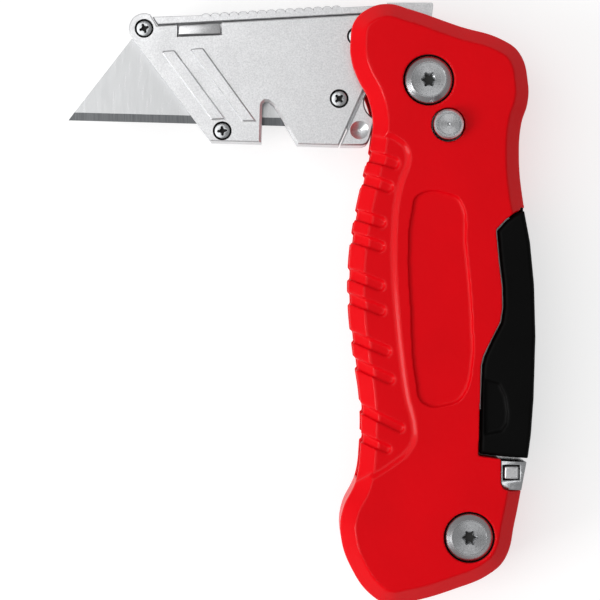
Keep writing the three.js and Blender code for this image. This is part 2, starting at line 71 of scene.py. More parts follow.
def add_node(material, kind, links=None, **settings):
    """Adds a node: links gives its sockets' values or the outputs that feed them."""
    made = material.node_tree.nodes.new(kind)
    for name, value in settings.items():
        setattr(made, name, value)
    for socket, value in (links or {}).items():
        if isinstance(value, bpy.types.NodeSocket):
            material.node_tree.links.new(value, made.inputs[socket])
        else:
            made.inputs[socket].default_value = value
    return made


def new_material(name, colour, metallic, roughness, **sockets):
    """A material with one Principled shader, and that shader."""
    material = bpy.data.materials.new(name)
    material.use_nodes = True
    shader = material.node_tree.nodes["Principled BSDF"]
    shader.inputs["Base Color"].default_value = linear(colour)
    shader.inputs["Metallic"].default_value = metallic
    shader.inputs["Roughness"].default_value = roughness
    for socket, value in sockets.items():
        shader.inputs[socket.replace("_", " ")].default_value = value
    return material, shader


FLOOR_SIZE = 3.0
FLOOR_DROP = 0.1 * MM
TABLE_GLOW = 0.62
ROOM_GLOW = 0.38
bpy.ops.mesh.primitive_plane_add(size=FLOOR_SIZE, location=(*VIEW_CENTRE, -FLOOR_DROP))
floor = bpy.context.object
floor.name = "floor"
white_table, _ = new_material("backlit_white_acrylic", "B4B4B4", 0.0, 0.8,
                              Emission_Color=linear("FFFFFF"), Emission_Strength=TABLE_GLOW)
floor.data.materials.append(white_table)

LIGHTS = [
    # name, position in metres, size in metres, watts
    ("overhead_box", (-0.74, 0.05, 1.20), 1.50, 11.0),
    ("left_key", (-0.85, -0.32, 0.50), 0.40, 4.6),
]
for name, place, size, watts in LIGHTS:
    bpy.ops.object.light_add(type="AREA", location=place)
    lamp = bpy.context.object
    lamp.name = name
    lamp.data.size = size
    lamp.data.energy = watts
    aim = Vector((*VIEW_CENTRE, 0)) - lamp.location
    lamp.rotation_euler = aim.to_track_quat("-Z", "Y").to_euler()

world = bpy.data.worlds.new("studio")
world.use_nodes = True
world.node_tree.nodes["Background"].inputs["Color"].default_value = linear("FFFFFF")
world.node_tree.nodes["Background"].inputs["Strength"].default_value = ROOM_GLOW
bpy.context.scene.world = world
bpy.context.scene.view_settings.view_transform = "Standard"


# --- Red handle shells ------------------------------------------------------------------
# Two die-cast aluminium halves that meet at the middle plane, powder coated red. The fingers'
# side has a sunk panel with slanting grip grooves, and the face a long shallow centre panel.
HANDLE_OUTLINE = [
    (-16.9, 4.7), (-17.1, 9.0), (-16.3, 13.2), (-13.2, 16.1), (-8.9, 17.2), (-4.0, 16.0),
    (7.1, 12.2), (16.6, 9.2), (20.3, 6.3), (22.2, -0.4), (22.1, -4.7), (20.7, -9.4),
    (20.2, -16.9), (20.9, -25.2), (22.5, -33.6), (23.5, -44.0), (23.9, -56.4), (23.4, -70.0),
    (22.3, -80.7), (20.9, -88.8), (19.2, -97.6), (17.2, -105.4), (14.2, -108.6), (5.6, -112.4),
    (-4.5, -115.2), (-8.6, -115.6), (-12.2, -113.9), (-16.9, -107.7), (-19.3, -100.2),
    (-18.9, -94.9), (-15.9, -88.2), (-14.9, -80.6), (-14.9, -71.2), (-16.3, -61.0),
    (-17.5, -49.1), (-17.4, -40.0), (-16.3, -31.0), (-14.2, -20.8), (-12.5, -13.0),
    (-12.2, -8.6), (-13.3, -3.6), (-15.4, 0.4),
]
FINGER_PANEL = [
    (-9.1, -12.0), (-6.9, -13.0), (-4.9, -14.9), (-4.4, -17.6), (-5.9, -22.3), (-6.9, -26.5),
    (-7.5, -34.0), (-7.5, -42.0), (-6.9, -51.0), (-5.8, -61.7), (-4.7, -69.3), (-3.1, -76.2),
    (-3.2, -79.1), (-4.7, -81.8), (-7.3, -84.0), (-12.6, -87.4), (-20, -91.0), (-30, -91.0),
    (-30, -12), (-16, -10.8),
]
CENTRE_PANEL = [
    (-3.7, -29.0), (-4.5, -38.0), (-4.0, -49.7), (-2.8, -66.3), (-1.3, -71.0), (4.7, -71.3),
    (7.4, -69.7), (9.7, -61.7), (9.7, -54.5), (8.3, -36.8), (7.0, -26.5), (5.3, -25.3), (-2.4, -25.3),
]
# Each groove: its start at the finger edge, its inner end, and its width.
GRIP_GROOVES = [
    ((-13.2, -16.4), (-7.6, -18.3), 2.5), ((-14.2, -21.5), (-9.0, -23.5), 2.5),
    ((-15.9, -29.4), (-10.6, -31.3), 2.4), ((-16.9, -34.4), (-10.8, -36.6), 2.35),
    ((-17.7, -42.4), (-10.8, -45.2), 2.4), ((-17.6, -47.9), (-10.5, -50.7), 2.3),
    ((-16.9, -56.4), (-9.4, -59.6), 2.3), ((-16.0, -62.4), (-8.6, -65.8), 2.25),
    ((-14.8, -72.3), (-6.3, -76.5), 2.0), ((-14.8, -78.8), (-9.2, -81.1), 1.9),
]
THICKNESS = 21.0
MIDDLE = THICKNESS / 2
CHAMFER = 3.3
PANEL_DROP = 0.6
GROOVE_DEPTH = 0.5
CENTRE_DROP = 0.6
SLOT_LOW, SLOT_HIGH = 5.0, 16.0
TRAY_HOLLOW_TOP = 18.6
PIVOT = (0, 0)
BUTT_BOLT = (8.93, -100.5)
BOLT_RADIUS = 5.3
BOLT_GAP = 0.3
BOLT_SEAT, NUT_SEAT = 18.7, 2.2
BARREL_RADIUS = 3.3
LOCK = (4.28, -9.87)
LOCK_RADIUS = 3.34
LOCK_GAP = 0.36
LOCK_SPRING_ROOM = 1.75
HINGE = (19.6, -27.45)
HINGE_PIN_RADIUS = 0.95
HINGE_ROOM = 1.82
HINGE_ROOM_LOW, HINGE_ROOM_HIGH = 3.4, 17.25
SHADE_MARGIN = 0.08


def raised(points, low, high, edge=0.0, rings=0, shrink=0.0, smooth=True, steps=8):
    """A flat outline in millimetres, raised from low to high, its rims rounded or chamfered by edge."""
    turning = sum(x0 * y1 - x1 * y0 for (x0, y0), (x1, y1) in zip(points, points[1:] + points[:1]))
    clockwise = points[::-1] if turning > 0 else points
    bpy.ops.object.select_all(action="DESELECT")
    bpy.ops.curve.primitive_bezier_circle_add(radius=1)
    curve = bpy.context.object
    spline = curve.data.splines[0]
    if len(points) > len(spline.bezier_points):
        spline.bezier_points.add(len(points) - len(spline.bezier_points))
    for knot, (x, y) in zip(spline.bezier_points, clockwise):
        knot.handle_left_type = knot.handle_right_type = "AUTO" if smooth else "VECTOR"
        knot.co = (x * MM, y * MM, 0)
    curve.data.dimensions = "2D"
    curve.data.fill_mode = "BOTH"
    curve.data.resolution_u = steps if smooth else 1
    curve.data.extrude = ((high - low) / 2 - edge) * MM
    curve.data.bevel_depth = edge * MM
    curve.data.bevel_resolution = rings
    curve.data.offset = -(edge + shrink) * MM
    curve.location.z = (low + high) / 2 * MM
    bpy.ops.object.convert(target="MESH")
    tidy(bpy.context.object)
    return bpy.context.object


def tidy(piece):
    """Puts the piece's place into its mesh, welds its points and turns its faces outwards."""
    bpy.ops.object.select_all(action="DESELECT")
    piece.select_set(True)
    bpy.context.view_layer.objects.active = piece
    bpy.ops.object.transform_apply(location=True, rotation=True, scale=True)
    bpy.ops.object.mode_set(mode="EDIT")
    bpy.ops.mesh.select_all(action="SELECT")
    bpy.ops.mesh.remove_doubles(threshold=0.002 * MM)
    bpy.ops.mesh.normals_make_consistent(inside=False)
    bpy.ops.object.mode_set(mode="OBJECT")


def combine(piece, tool, operation="DIFFERENCE", keep_tool=False):
    """Cuts the tool from the piece, joins it on, or keeps what both share."""
    bpy.context.view_layer.objects.active = piece
    change = piece.modifiers.new("combine", "BOOLEAN")
    change.operation = operation
    change.solver = "EXACT"
    change.object = tool
    bpy.ops.object.modifier_apply(modifier=change.name)
    if not keep_tool:
        bpy.data.objects.remove(tool)


def arc(centre, radius, start, end, steps):
    """Points along an arc, its angles in degrees."""
    angles = [math.radians(start + (end - start) * i / steps) for i in range(steps + 1)]
    return [(centre[0] + radius * math.cos(a), centre[1] + radius * math.sin(a)) for a in angles]


def groove_outline(start, end, width, past=4):
    """A groove's plan: it runs past the finger edge, and its inner end is round."""
    along = math.atan2(end[1] - start[1], end[0] - start[0])
    turn = math.degrees(along)
    reach = width / 2
    mouth = [(start[0] - past * math.cos(along) + side * reach * math.sin(along),
              start[1] - past * math.sin(along) - side * reach * math.cos(along)) for side in (-1, 1)]
    return arc(end, reach, turn - 90, turn + 90, 6) + mouth


def drum(radius, low, high, centre=(0, 0), segments=64):
    """A plain round tool about Z, in millimetres."""
    bpy.ops.object.select_all(action="DESELECT")
    bpy.ops.mesh.primitive_cylinder_add(
        radius=radius * MM, depth=(high - low) * MM, vertices=segments,
        location=(centre[0] * MM, centre[1] * MM, (low + high) / 2 * MM))
    tidy(bpy.context.object)
    return bpy.context.object


def soften(piece, voxel, rounds, keep):
    """Gives a piece one even skin, eases its corners as paint and casting do, and thins the skin."""
    bpy.context.view_layer.objects.active = piece
    skin = piece.modifiers.new("skin", "REMESH")
    skin.mode = "VOXEL"
    skin.voxel_size = voxel * MM
    bpy.ops.object.modifier_apply(modifier=skin.name)
    ease = piece.modifiers.new("ease", "SMOOTH")
    ease.factor = 0.5
    ease.iterations = rounds
    bpy.ops.object.modifier_apply(modifier=ease.name)
    thin = piece.modifiers.new("thin", "DECIMATE")
    thin.ratio = keep
    bpy.ops.object.modifier_apply(modifier=thin.name)
    for face in piece.data.polygons:
        face.use_smooth = True


def settle(piece, name, material, body, slot, *replaced):
    """Names a finished piece, gives it its finish, ties it to its body and hides the CAD nodes that it
    replaces.
    """
    piece.name = piece.data.name = name
    piece.data.materials.clear()
    piece.data.materials.append(material)
    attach(piece, body)
    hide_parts(*replaced)


def copy_of(piece, name):
    """A copy of a piece with its own mesh."""
    twin = piece.copy()
    twin.data = piece.data.copy()
    twin.name = name
    bpy.context.collection.objects.link(twin)
    return twin


# Powder coat: a hard, slightly orange-peeled plastic skin about 80 microns thick. It gives the eye
# soft wide highlights that break up a little, on one even warm red. Its powder's 0.1 mm specks are
# drawn at 0.35 mm so that they show.
PEEL = 1.3 * MM
SPECK = 0.35 * MM
CLOUD = 14 * MM
powder_coat, shader = new_material("red_powder_coat", "CF0010", 0.0, 0.36, IOR=1.5,
                                   Specular_IOR_Level=0.03, Coat_Weight=0.18, Coat_Roughness=0.15)
place = add_node(powder_coat, "ShaderNodeTexCoord").outputs["Object"]
peel = add_node(powder_coat, "ShaderNodeTexNoise", {"Vector": place, "Scale": 1 / PEEL, "Detail": 2.0})
speck = add_node(powder_coat, "ShaderNodeTexNoise", {"Vector": place, "Scale": 1 / SPECK, "Detail": 1.0})
cloud = add_node(powder_coat, "ShaderNodeTexNoise", {"Vector": place, "Scale": 1 / CLOUD, "Detail": 3.0})
tone = add_node(powder_coat, "ShaderNodeMix",
                {"Factor": cloud.outputs["Fac"], "A": linear("D1000B"), "B": linear("E1000E")},
                data_type="RGBA")
powder_coat.node_tree.links.new(tone.outputs["Result"], shader.inputs["Base Color"])
gloss = add_node(powder_coat, "ShaderNodeMapRange",
                 {"Value": speck.outputs["Fac"], "To Min": 0.30, "To Max": 0.44})
powder_coat.node_tree.links.new(gloss.outputs["Result"], shader.inputs["Roughness"])
fine = add_node(powder_coat, "ShaderNodeBump",
                {"Height": speck.outputs["Fac"], "Distance": 0.012 * MM, "Strength": 0.5})
wave = add_node(powder_coat, "ShaderNodeBump",
                {"Height": peel.outputs["Fac"], "Distance": 0.05 * MM, "Strength": 0.6,
                 "Normal": fine.outputs["Normal"]})
powder_coat.node_tree.links.new(wave.outputs["Normal"], shader.inputs["Normal"])

# Painted shade: a dull, patchy near-black colour on the bottoms of narrow seams and screw recesses, where
# shade falls.
painted_shade, shader = new_material("painted_recess_shade", "121212", 0.0, 0.7)
place = add_node(painted_shade, "ShaderNodeTexCoord").outputs["Object"]
shade_patches = add_node(painted_shade, "ShaderNodeTexNoise", {"Vector": place, "Scale": 1 / (0.5 * MM), "Detail": 3.0})
tint = add_node(painted_shade, "ShaderNodeMix",
                {"Factor": shade_patches.outputs["Fac"], "A": linear("070707"), "B": linear("262524")},
                data_type="RGBA")
painted_shade.node_tree.links.new(tint.outputs["Result"], shader.inputs["Base Color"])


def darken(piece, centre, reach, low, high):
    """Gives the painted shade to a piece's faces within reach of a centre and between two heights."""
    if painted_shade.name not in piece.data.materials:
        piece.data.materials.append(painted_shade)
    index = piece.data.materials.find(painted_shade.name)
    for face in piece.data.polygons:
        x, y, z = (v / MM for v in face.center)
        if math.hypot(x - centre[0], y - centre[1]) < reach and low < z < high:
            face.material_index = index


# The finger panel is what a tool takes off: the panel's plan, less a lower copy of the handle that
# already has its grip grooves.
half = raised(HANDLE_OUTLINE, 0, THICKNESS, edge=CHAMFER)
lower = raised(HANDLE_OUTLINE, PANEL_DROP, THICKNESS - PANEL_DROP, edge=CHAMFER, shrink=-0.03)
sunk = raised(HANDLE_OUTLINE, PANEL_DROP, THICKNESS - PANEL_DROP - GROOVE_DEPTH, edge=CHAMFER,
              shrink=GROOVE_DEPTH)
for start, end, width in GRIP_GROOVES:
    groove = raised(groove_outline(start, end, width), MIDDLE - 1.1, THICKNESS + 2, smooth=False)
    combine(groove, sunk, keep_tool=True)
    combine(lower, groove)
bpy.data.objects.remove(sunk)
# The panel's border slopes: its tool is chamfered by the slope's width, then flattened to the drop.
PANEL_SLOPE = 1.0
panel = raised(FINGER_PANEL, 0, 12, edge=PANEL_SLOPE, shrink=-PANEL_SLOPE / 2)
panel.scale.z = PANEL_DROP / PANEL_SLOPE
panel.location.z = (THICKNESS - PANEL_DROP) * MM
tidy(panel)
combine(panel, raised(FINGER_PANEL, MIDDLE - 2, THICKNESS - PANEL_DROP + 0.1,
                      shrink=PANEL_SLOPE - 0.3), "UNION")
combine(panel, lower)
combine(half, panel)
combine(half, raised(CENTRE_PANEL, THICKNESS - CENTRE_DROP, THICKNESS + 6, edge=CENTRE_DROP / 2))
tidy(half)
combine(half, raised([(-70, -150), (60, -150), (60, 60), (-70, 60)], -1, MIDDLE, smooth=False))

# What both halves make room for: the magazine's window and hinge, the latch, the folded head's slot
# and the tray of spare blades.
WINDOW = [
    (30, -26.0), (22.4, -27.6), (20.4, -28.6), (18.7, -29.3), (16.9, -30.7), (14.8, -32.9),
    (15.4, -39.6), (16.1, -45.5), (16.2, -50.0), (15.7, -53.2), (13.8, -56.9), (12.0, -60.6),
    (11.5, -62.7), (10.9, -82.6), (15.9, -83.3), (20.7, -83.6), (30, -84.2),
]
LATCH_OPENING = [(15.9, -83.0), (15.9, -88.7), (16.4, -89.8), (17.5, -90.25), (30, -90.8), (30, -83.0)]
TANG_SWEEP = 18.3
TIP_SWEEP = 89.6
SLOT_PLAN = [
    (-40, 60), (TANG_SWEEP, 60), *arc(PIVOT, TANG_SWEEP, 0, -8, 2), (17.9, -24), (17.6, -30),
    (14.6, -33), (14.6, -51), (10.2, -60), (10.2, -89.0),
    *arc(PIVOT, TIP_SWEEP, -83.4, -112, 6), (-60, -83), (-60, 60),
]
TRAY_TOP_SWEEP = 21.1
TRAY_END_SWEEP = 56.1
TRAY_HOLLOW = [
    *arc(HINGE, TRAY_TOP_SWEEP, 151, 192, 5), (0.9, -40), (0.9, -79.6),
    *arc(HINGE, TRAY_END_SWEEP, 249.7, 277, 6), (30, -83.9), (30, -28.3), (20.6, -28.0),
    (20.0, -26.9), (19.6, -25.5),
]
HINGE_WEB_ROOM = [(17.4, -26.6), (14.9, -31.6), (14.9, -36), (26, -36), (26, -27.95)]
front = half
back = copy_of(half, "back")
back.scale.z = -1
back.location.z = THICKNESS * MM
tidy(back)
for shell in (front, back):
    for centre in (PIVOT, BUTT_BOLT):
        combine(shell, drum(BOLT_RADIUS + BOLT_GAP, BOLT_SEAT, THICKNESS + 1, centre))
        combine(shell, drum(BOLT_RADIUS + BOLT_GAP, -1, NUT_SEAT, centre))
        combine(shell, drum(BARREL_RADIUS + 0.25, 1, 19, centre))
    combine(shell, drum(HINGE_ROOM, HINGE_ROOM_LOW, HINGE_ROOM_HIGH, HINGE))
    combine(shell, raised(HINGE_WEB_ROOM, HINGE_ROOM_LOW, HINGE_ROOM_HIGH, smooth=False))
    combine(shell, drum(HINGE_PIN_RADIUS, 2.9, 18.1, HINGE, segments=32))
    combine(shell, raised(WINDOW, -1, THICKNESS + 1, smooth=False))
    combine(shell, raised(LATCH_OPENING, -1, THICKNESS + 1, smooth=False))
combine(front, raised(SLOT_PLAN, MIDDLE - 1, SLOT_HIGH, smooth=False))
combine(front, raised(TRAY_HOLLOW, SLOT_HIGH - 0.01, TRAY_HOLLOW_TOP, smooth=False))
combine(front, drum(LOCK_RADIUS + LOCK_GAP, MIDDLE, THICKNESS + 1, LOCK))
combine(back, raised(SLOT_PLAN, SLOT_LOW, MIDDLE + 1, smooth=False))
combine(back, drum(LOCK_SPRING_ROOM, 1.6, MIDDLE, LOCK))
for shell, name in ((front, "front_shell"), (back, "back_shell")):
    soften(shell, voxel=0.25, rounds=4, keep=0.42)
    settle(shell, "red_" + name, powder_coat, "handle", "red_paint", name)
    # Painted shade on the walls of the bolt seats.
    for centre in (PIVOT, BUTT_BOLT):
        darken(shell, centre, BOLT_RADIUS + BOLT_GAP + SHADE_MARGIN, 0.35, THICKNESS - 0.4)
# Painted shade on the wall of the lock's hole.
darken(front, LOCK, LOCK_RADIUS + LOCK_GAP + SHADE_MARGIN, MIDDLE, THICKNESS - 0.3)


# --- Steel liners and pivot washers -----------------------------------------------------
# Blanked spring-steel sheets inside each shell and two bronze washers that the head turns on.
# They lie inside the slot, flat and thin, as the CAD gives them.
# Rolled strip: fine lines, drawn 0.3 mm wide and 7 mm long so that they show, and a soft sheen.
rolled_steel, shader = new_material("rolled_steel_sheet", "B4B6B8", 1.0, 0.34)
place = add_node(rolled_steel, "ShaderNodeTexCoord").outputs["Object"]
drawn = add_node(rolled_steel, "ShaderNodeMapping", {"Vector": place, "Scale": (9.0, 0.35, 9.0)})
lines = add_node(rolled_steel, "ShaderNodeTexNoise",
                 {"Vector": drawn.outputs["Vector"], "Scale": 1 / (2.5 * MM), "Detail": 3.0})
sheen = add_node(rolled_steel, "ShaderNodeMapRange",
                 {"Value": lines.outputs["Fac"], "To Min": 0.24, "To Max": 0.46})
rolled_steel.node_tree.links.new(sheen.outputs["Result"], shader.inputs["Roughness"])
grain = add_node(rolled_steel, "ShaderNodeBump",
                 {"Height": lines.outputs["Fac"], "Distance": 0.01 * MM, "Strength": 0.5})
rolled_steel.node_tree.links.new(grain.outputs["Normal"], shader.inputs["Normal"])

# Sintered bronze: warm, matt, finely pored.
bronze, shader = new_material("sintered_bronze", "A9825A", 0.95, 0.42)
place = add_node(bronze, "ShaderNodeTexCoord").outputs["Object"]
pores = add_node(bronze, "ShaderNodeTexNoise", {"Vector": place, "Scale": 1 / (0.5 * MM), "Detail": 3.0})
warm = add_node(bronze, "ShaderNodeMix",
                {"Factor": pores.outputs["Fac"], "A": linear("8F6A45"), "B": linear("BD9468")},
                data_type="RGBA")
bronze.node_tree.links.new(warm.outputs["Result"], shader.inputs["Base Color"])
grain = add_node(bronze, "ShaderNodeBump",
                 {"Height": pores.outputs["Fac"], "Distance": 0.02 * MM, "Strength": 0.5})
bronze.node_tree.links.new(grain.outputs["Normal"], shader.inputs["Normal"])

for name in ("front_liner", "back_liner"):
    nodes[name].material_slots[0].material = rolled_steel
for name in ("front_pivot_washer", "back_pivot_washer"):
    nodes[name].material_slots[0].material = bronze


# --- Pivot and butt bolts ---------------------------------------------------------------
# Turned stainless bolts with a wide coned rim and a six-lobed recess, screwed into flanged
# barrel nuts that show on the rear face. Each sits in a round seat with a dark gap about it; painted shade
# darkens the seat's walls and the recess floor.
def turned(profile, centre=(0, 0), segments=72):
    """A turned solid: the profile is (radius, height) in millimetres from its bottom face up."""
    bpy.ops.object.select_all(action="DESELECT")
    x, y = centre[0] * MM, centre[1] * MM
    radius, height = profile[0]
    bpy.ops.mesh.primitive_circle_add(vertices=segments, radius=radius * MM, fill_type="NGON",
                                      location=(x, y, height * MM))
    piece = bpy.context.object
    tidy(piece)
    bpy.ops.object.mode_set(mode="EDIT")
    bpy.ops.mesh.select_all(action="SELECT")
    for next_radius, next_height in profile[1:]:
        bpy.ops.mesh.extrude_region_move(
            TRANSFORM_OT_translate={"value": (0, 0, (next_height - height) * MM)})
        grow = next_radius / radius
        bpy.ops.transform.resize(value=(grow, grow, 1), center_override=(x, y, next_height * MM))
        radius, height = next_radius, next_height
    bpy.ops.object.mode_set(mode="OBJECT")
    tidy(piece)
    return piece


SHARP_CORNER = math.radians(35)


def crisp(piece, edge=0.0, rings=2, shade=30):
    """Breaks a hard piece's sharp edges by a small radius; faces that meet under shade look smooth."""
    bpy.ops.object.select_all(action="DESELECT")
    piece.select_set(True)
    bpy.context.view_layer.objects.active = piece
    if edge:
        broken = piece.modifiers.new("broken", "BEVEL")
        broken.width = edge * MM
        broken.segments = rings
        broken.limit_method = "ANGLE"
        broken.angle_limit = SHARP_CORNER
        broken.use_clamp_overlap = True
        bpy.ops.object.modifier_apply(modifier=broken.name)
    bpy.ops.object.shade_smooth_by_angle(angle=math.radians(shade))


# Turned stainless: the tool leaves fine rings about the axis and handling leaves short scratches.
# It gives the eye bright rings and streaks over mid grey. The wave texture turns 20 radians per
# unit, so this scale draws the rings 0.66 mm apart, coarse enough to show.
RING_SCALE = 1 / (2.1 * MM)


def turned_finish(name, centre, colour):
    """A turned steel finish whose rings run about a centre in millimetres."""
    material, shader = new_material(name, colour, 1.0, 0.26, Anisotropic=0.65)
    place = add_node(material, "ShaderNodeTexCoord").outputs["Object"]
    centred = add_node(material, "ShaderNodeMapping",
                       {"Vector": place, "Location": (-centre[0] * MM, -centre[1] * MM, 0)})
    rings = add_node(material, "ShaderNodeTexWave",
                     {"Vector": centred.outputs["Vector"], "Scale": RING_SCALE,
                      "Distortion": 0.6, "Detail": 2.0},
                     wave_type="RINGS", rings_direction="Z")
    scratch = add_node(material, "ShaderNodeTexNoise",
                       {"Vector": place, "Scale": 1 / (0.7 * MM), "Detail": 4.0, "Distortion": 2.0})
    sheen = add_node(material, "ShaderNodeMapRange",
                     {"Value": scratch.outputs["Fac"], "From Min": 0.3, "From Max": 0.7,
                      "To Min": 0.22, "To Max": 0.36})
    material.node_tree.links.new(sheen.outputs["Result"], shader.inputs["Roughness"])
    tooled = add_node(material, "ShaderNodeBump",
                      {"Height": rings.outputs["Fac"], "Distance": 0.004 * MM, "Strength": 0.35})
    worn = add_node(material, "ShaderNodeBump",
                    {"Height": scratch.outputs["Fac"], "Distance": 0.006 * MM, "Strength": 0.3,
                     "Normal": tooled.outputs["Normal"]})
    material.node_tree.links.new(worn.outputs["Normal"], shader.inputs["Normal"])
    around = add_node(material, "ShaderNodeVectorMath", operation="CROSS_PRODUCT")
    material.node_tree.links.new(centred.outputs["Vector"], around.inputs[0])
    around.inputs[1].default_value = (0, 0, 1)
    material.node_tree.links.new(around.outputs["Vector"], shader.inputs["Tangent"])
    return material


# Profiles are (radius, height): the bolt from its tip up to the ring at its face's rim, and the nut
# from its face up.
BOLT_TOP = 21.7
BOLT_PROFILE = [
    (1.9, 6.5), (1.9, 19.0), (BOLT_RADIUS, 19.0), (BOLT_RADIUS, 20.45), (5.18, 20.6), (4.02, 21.6),
    (3.9, BOLT_TOP), (3.78, BOLT_TOP), (3.68, 21.61), (3.5, 21.6),
]
NUT_PROFILE = [
    (2.1, 0.35), (2.35, 0.0), (4.9, 0.0), (BOLT_RADIUS, 0.4), (BOLT_RADIUS, 1.9),
    (BARREL_RADIUS, 1.9), (BARREL_RADIUS, 18.4),
]
NUT_BORE = 2.1
RECESS_RADIUS = 1.75
RECESS_DEPTH = 1.1
TURNED_SHADE = 8


def six_lobes(centre, radius):
    """The recess's plan: a circle whose radius rises and falls six times."""
    angles = [2 * math.pi * i / 24 for i in range(24)]
    waves = [radius * (0.83 + 0.17 * math.cos(6 * a)) for a in angles]
    return [(centre[0] + w * math.cos(a), centre[1] + w * math.sin(a)) for w, a in zip(waves, angles)]


for centre, label in ((PIVOT, "pivot"), (BUTT_BOLT, "butt")):
    steel = turned_finish("turned_stainless_" + label, centre, "B4B5B7")
    bolt = turned(BOLT_PROFILE, centre)
    combine(bolt, turned([(1.0, BOLT_TOP - 0.45), (1.55, BOLT_TOP)], centre))
    combine(bolt, raised(six_lobes(centre, RECESS_RADIUS), BOLT_TOP - RECESS_DEPTH, BOLT_TOP + 1,
                         edge=0.22, steps=4))
    crisp(bolt, shade=TURNED_SHADE)
    settle(bolt, label + "_bolt_head", steel, "handle", "steel", label + "_bolt")
    # Painted shade on the floor of the six-lobed recess.
    darken(bolt, centre, 2.0, BOLT_TOP - RECESS_DEPTH - 0.1, BOLT_TOP - RECESS_DEPTH + 0.05)
    nut = turned(NUT_PROFILE, centre)
    combine(nut, drum(NUT_BORE, 5.5, 19, centre))
    crisp(nut, shade=TURNED_SHADE)
    settle(nut, label + "_barrel_nut", steel, "handle", "steel", label + "_nut")


# --- Button lock ------------------------------------------------------------------------
# A turned steel button that unlocks the head when it is pressed. Its face has a shallow ring
# groove and a centre dimple, and it stands a little proud of a round hole in the front shell.
LOCK_TOP = 23.2
LOCK_PROFILE = [
    (1.3, 15.9), (1.3, 18.6), (LOCK_RADIUS, 18.6), (LOCK_RADIUS, 22.5), (3.22, 22.75),
    (2.8, LOCK_TOP), (2.62, LOCK_TOP), (2.52, 23.06), (2.34, 23.06), (2.24, LOCK_TOP),
    (0.42, LOCK_TOP), (0.3, 23.05), (0.1, 23.0),
]
lock_steel = turned_finish("turned_lock_steel", LOCK, "C2C3C5")
button = turned(LOCK_PROFILE, LOCK)
crisp(button, shade=TURNED_SHADE)
settle(button, "lock_button_cap", lock_steel, "lock", "steel", "lock_button")
nodes["lock_pin"].material_slots[0].material = lock_steel


# --- Blade holder: cheeks ---------------------------------------------------------------
# Two zinc castings, blasted and satin plated, screwed together round the blade and the tang.
# The front one has two raised slanting ribs and the window of the quick release.
# Blasted zinc: a light satin with a fine random sparkle; its grit of 0.1 mm is drawn at 0.3 mm
# so that it shows.
GRIT = 0.3 * MM
satin_zinc, shader = new_material("blasted_satin_zinc", "C6C8CA", 1.0, 0.36)
place = add_node(satin_zinc, "ShaderNodeTexCoord").outputs["Object"]
grit = add_node(satin_zinc, "ShaderNodeTexNoise", {"Vector": place, "Scale": 1 / GRIT, "Detail": 3.0})
patch = add_node(satin_zinc, "ShaderNodeTexNoise", {"Vector": place, "Scale": 1 / (6 * MM), "Detail": 3.0})
tone = add_node(satin_zinc, "ShaderNodeMix",
                {"Factor": grit.outputs["Fac"], "A": linear("B4B5B7"), "B": linear("F2F2F3")},
                data_type="RGBA")
satin_zinc.node_tree.links.new(tone.outputs["Result"], shader.inputs["Base Color"])
sheen = add_node(satin_zinc, "ShaderNodeMapRange",
                 {"Value": patch.outputs["Fac"], "From Min": 0.3, "From Max": 0.7,
                  "To Min": 0.30, "To Max": 0.44})
satin_zinc.node_tree.links.new(sheen.outputs["Result"], shader.inputs["Roughness"])
blasted = add_node(satin_zinc, "ShaderNodeBump",
                   {"Height": grit.outputs["Fac"], "Distance": 0.03 * MM, "Strength": 0.6})
satin_zinc.node_tree.links.new(blasted.outputs["Normal"], shader.inputs["Normal"])

SCREWS = [(-63.0, 12.16), (-45.6, -10.66), (-19.55, -3.5), (-15.7, 10.4)]
SCREW_RADIUS = 1.75
SCREW_GAP = 0.36
SCREW_SHAFT_ROOM = 1.15
SCREW_SEAT = 2.6
CHEEK_HALF = 4.0
POCKET_HALF = 0.45
RIB_FOOT, RIB_TOP = 3.3, 4.6
NOTCH_EDGE = [
    (-36.95, -13.24), (-36.72, -4.9), (-36.5, -4.4), (-36.1, -4.1), (-35.5, -4.1), (-35.0, -4.4),
    (-33.99, -5.19), (-32.63, -7.48), (-29.0, -13.62),
]
CHEEK_PLAN = [
    *arc(SCREWS[0], 3.45, 66, 214, 10), (-48.29, -12.93), *NOTCH_EDGE, (-19.68, -13.9),
    (-14.7, -2.75), (-9.3, 9.0), (-9.3, 15.5), (-60.1, 12.75),
]
NOTCH_PLAN = [(-36.95, -16), *NOTCH_EDGE, (-27.7, -16)]
NOTCH_CHAMFER = 0.5
BLADE_TIP = (-80.3, -8.0)
BLADE_TILT_DEGREES = -1.5
BLADE_TILT = math.radians(BLADE_TILT_DEGREES)
BLADE_LENGTH, BLADE_HEIGHT, BLADE_THICKNESS = 61.0, 19.0, 0.6
BLADE_ENDS = 14.0
TONGUE_ROOM = [(-12, -12.9), (-17.6, -12.9), (-18.4, -8.1), (-23.6, -1.6), (-30.0, 8.3),
               (-30.0, 12.8), (-6, 13.4)]
BAR_TONGUE_ROOM = [(-58.8, 11.1), (-14.2, 13.5), (-14.2, 16), (-58.8, 13.6)]
RELEASE_ROOM = [(-55.7, 10.2), (-45.6, 10.62), (-45.75, 14.6), (-55.6, 14.2)]
RIBS = [
    [(-59.1, 6.7), (-58.7, 7.1), (-56.4, 7.25), (-55.9, 6.9), (-44.8, -8.1), (-48.0, -8.25)],
    [(-52.7, 7.2), (-52.3, 7.6), (-50.0, 7.75), (-49.6, 7.4), (-38.0, -8.6), (-41.1, -8.6)],
]


def on_blade(along, up):
    """A point along the cutting edge from its tip, and up towards the blade's back."""
    return (BLADE_TIP[0] + along * math.cos(BLADE_TILT) - up * math.sin(BLADE_TILT),
            BLADE_TIP[1] + along * math.sin(BLADE_TILT) + up * math.cos(BLADE_TILT))


def outwards(side, near, far):
    """The lower and upper of two heights measured from the middle plane towards a side, 1 or -1."""
    return sorted((MIDDLE + side * near, MIDDLE + side * far))


